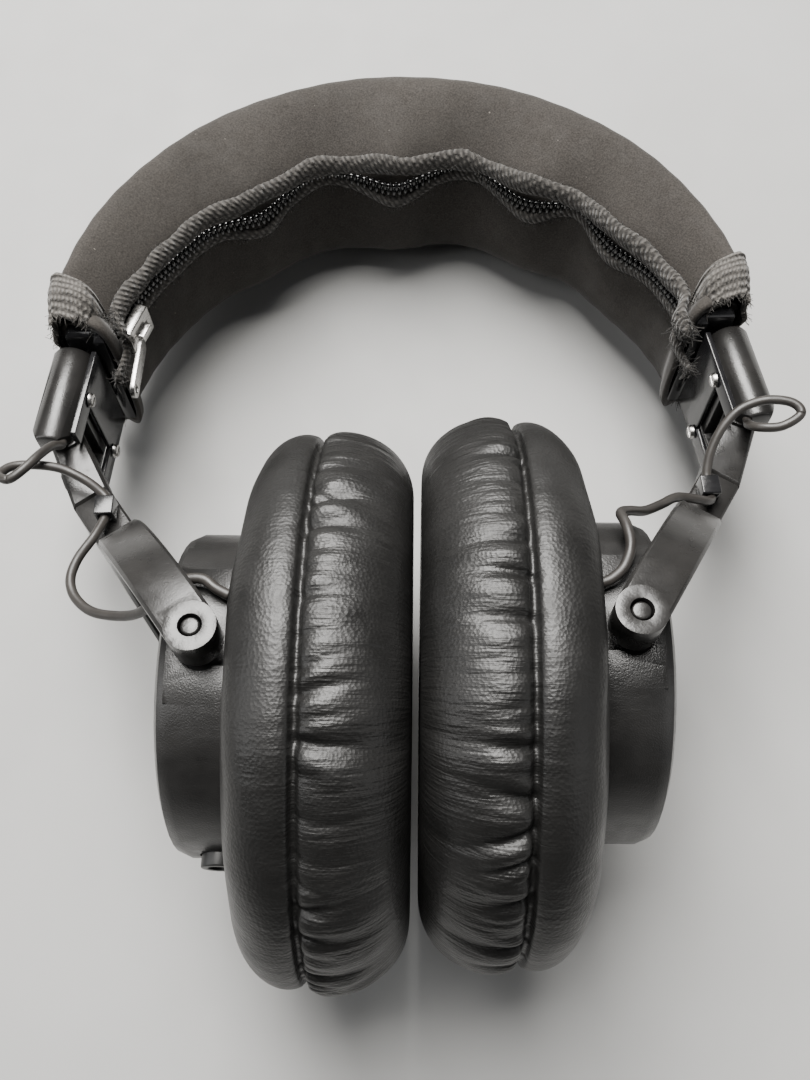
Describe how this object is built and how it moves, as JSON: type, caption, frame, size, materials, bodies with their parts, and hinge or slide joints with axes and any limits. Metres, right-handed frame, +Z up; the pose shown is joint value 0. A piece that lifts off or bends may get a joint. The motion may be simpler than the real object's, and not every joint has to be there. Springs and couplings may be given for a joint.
{
  "type": "over-ear headphones",
  "caption": "Folding over-ear headphones with thick oval ear pads, forked cup yokes, sliding hinge blocks and a zip-on padded headband cover.",
  "frame": {"origin": "bottom centre of the bounding box, on the surface the headphones lie on", "axes": "+X from the left cup to the right cup, +Y from the cups towards the crown, +Z up"},
  "size_m": [0.1616, 0.209, 0.0933],
  "materials": {
    "neoprene": "soft napped cover",
    "woven_tape": "coarse woven tape, fuzzy at its edges",
    "zip_plastic": "glossy moulded teeth",
    "elastic": "ribbed knitted elastic",
    "foam": "open-cell foam",
    "spring_steel": "brushed",
    "bright_steel": "bright",
    "black_metal": "satin black",
    "satin_plastic": "satin, lightly worn",
    "gloss_plastic": "glossy",
    "textured_plastic": "fine moulded grain",
    "leatherette": "pebbled, wrinkled, soft sheen",
    "lead_rubber": "smooth, semi-gloss",
    "driver_film": "thin film"
  },
  "bodies": {
    "headband": {"spring_band": "spring_steel", "band_foam": "foam", "headband_cover": "neoprene", "zipper_tape_upper": "woven_tape", "zipper_tape_lower": "woven_tape", "zipper_coil": "zip_plastic", "elastic_end_left": "elastic", "band_end_housing_left": "gloss_plastic"},
    "zip_slider": {"zipper_slider": "bright_steel"},
    "zip_pull": {"zipper_pull": "bright_steel"},
    "band_right": {"elastic_end_right": "elastic", "band_end_housing_right": "gloss_plastic"},
    "slider_left": {"slider_rail_left": "spring_steel", "hinge_block_left": "satin_plastic", "hinge_plate_left": "gloss_plastic", "hinge_screw_front_left": "bright_steel", "hinge_screw_rear_left": "bright_steel", "fold_pin_left": "spring_steel", "lead_upper_left": "lead_rubber"},
    "neck_left": {"neck_knuckle_left": "satin_plastic"},
    "yoke_left": {"yoke_left": "satin_plastic", "swivel_pin_left": "spring_steel", "pivot_pin_front_left": "satin_plastic", "pivot_pin_rear_left": "satin_plastic", "cable_clip_left": "gloss_plastic", "lead_lower_left": "lead_rubber"},
    "cup_left": {"cup_housing_left": "textured_plastic", "cup_cap_left": "textured_plastic", "baffle_left": "satin_plastic", "driver_frame_left": "satin_plastic", "driver_magnet_left": "spring_steel", "driver_diaphragm_left": "driver_film", "driver_grille_left": "black_metal", "ear_pad_left": "leatherette", "cable_socket": "black_metal"},
    "slider_right": {"slider_rail_right": "spring_steel", "hinge_block_right": "satin_plastic", "hinge_plate_right": "gloss_plastic", "hinge_screw_front_right": "bright_steel", "hinge_screw_rear_right": "bright_steel", "fold_pin_right": "spring_steel", "lead_upper_right": "lead_rubber"},
    "neck_right": {"neck_knuckle_right": "satin_plastic"},
    "yoke_right": {"yoke_right": "satin_plastic", "swivel_pin_right": "spring_steel", "pivot_pin_front_right": "satin_plastic", "pivot_pin_rear_right": "satin_plastic", "cable_clip_right": "gloss_plastic", "lead_lower_right": "lead_rubber"},
    "cup_right": {"cup_housing_right": "textured_plastic", "cup_cap_right": "textured_plastic", "baffle_right": "satin_plastic", "driver_frame_right": "satin_plastic", "driver_magnet_right": "spring_steel", "driver_diaphragm_right": "driver_film", "driver_grille_right": "black_metal", "ear_pad_right": "leatherette"}
  },
  "joints": [
    {"name": "band_flex", "type": "hinge", "parent": "headband", "child": "band_right", "pos_m": [0.00055, 0.0923, 0.02079], "axis": [0, 0.1779, 0.984], "range_deg": [0, 40], "stiffness_Nm_per_rad": 1, "springref_deg": -8.59, "deforming": ["headband_cover", "band_foam", "spring_band", "zipper_tape_upper", "zipper_tape_lower", "zipper_coil"]},
    {"name": "zip_run", "type": "hinge", "parent": "headband", "child": "zip_slider", "pos_m": [0.00055, 0.00969, 0.03572], "axis": [0, -0.1779, -0.984], "range_deg": [0, 70]},
    {"name": "pull_swing", "type": "hinge", "parent": "zip_slider", "child": "zip_pull", "pos_m": [-0.05692, 0.0288, 0.04116], "axis": [0, 0.1779, 0.984], "range_deg": [0, 60]},
    {"name": "adjust_left", "type": "slide", "parent": "headband", "child": "slider_left", "axis": [-0.1045, -0.9787, 0.177], "range_m": [0, 0.02]},
    {"name": "fold_left", "type": "hinge", "parent": "slider_left", "child": "neck_left", "pos_m": [-0.07181, 0.00469, 0.03663], "axis": [0, 0.1779, 0.984], "range_deg": [0, 65], "deforming": ["lead_upper_left", "ear_pad_left"]},
    {"name": "swivel_left", "type": "hinge", "parent": "neck_left", "child": "yoke_left", "pos_m": [-0.06465, -0.01048, 0.03937], "axis": [-0.5667, 0.8108, -0.1466], "range_deg": [-180, 0]},
    {"name": "tilt_left", "type": "hinge", "parent": "yoke_left", "child": "cup_left", "pos_m": [-0.03535, -0.0524, 0.04695], "axis": [0, -0.1779, -0.984], "range_deg": [-8, 8], "deforming": ["lead_lower_left"]},
    {"name": "adjust_right", "type": "slide", "parent": "band_right", "child": "slider_right", "axis": [0.1045, -0.9787, 0.177], "range_m": [0, 0.02]},
    {"name": "fold_right", "type": "hinge", "parent": "slider_right", "child": "neck_right", "pos_m": [0.07291, 0.00469, 0.03663], "axis": [0, -0.1779, -0.984], "range_deg": [0, 65], "deforming": ["lead_upper_right", "ear_pad_right"]},
    {"name": "swivel_right", "type": "hinge", "parent": "neck_right", "child": "yoke_right", "pos_m": [0.06575, -0.01048, 0.03937], "axis": [0.5667, 0.8108, -0.1466], "range_deg": [0, 180]},
    {"name": "tilt_right", "type": "hinge", "parent": "yoke_right", "child": "cup_right", "pos_m": [0.03645, -0.0524, 0.04695], "axis": [0, 0.1779, 0.984], "range_deg": [-8, 8], "deforming": ["lead_lower_right"]}
  ]
}
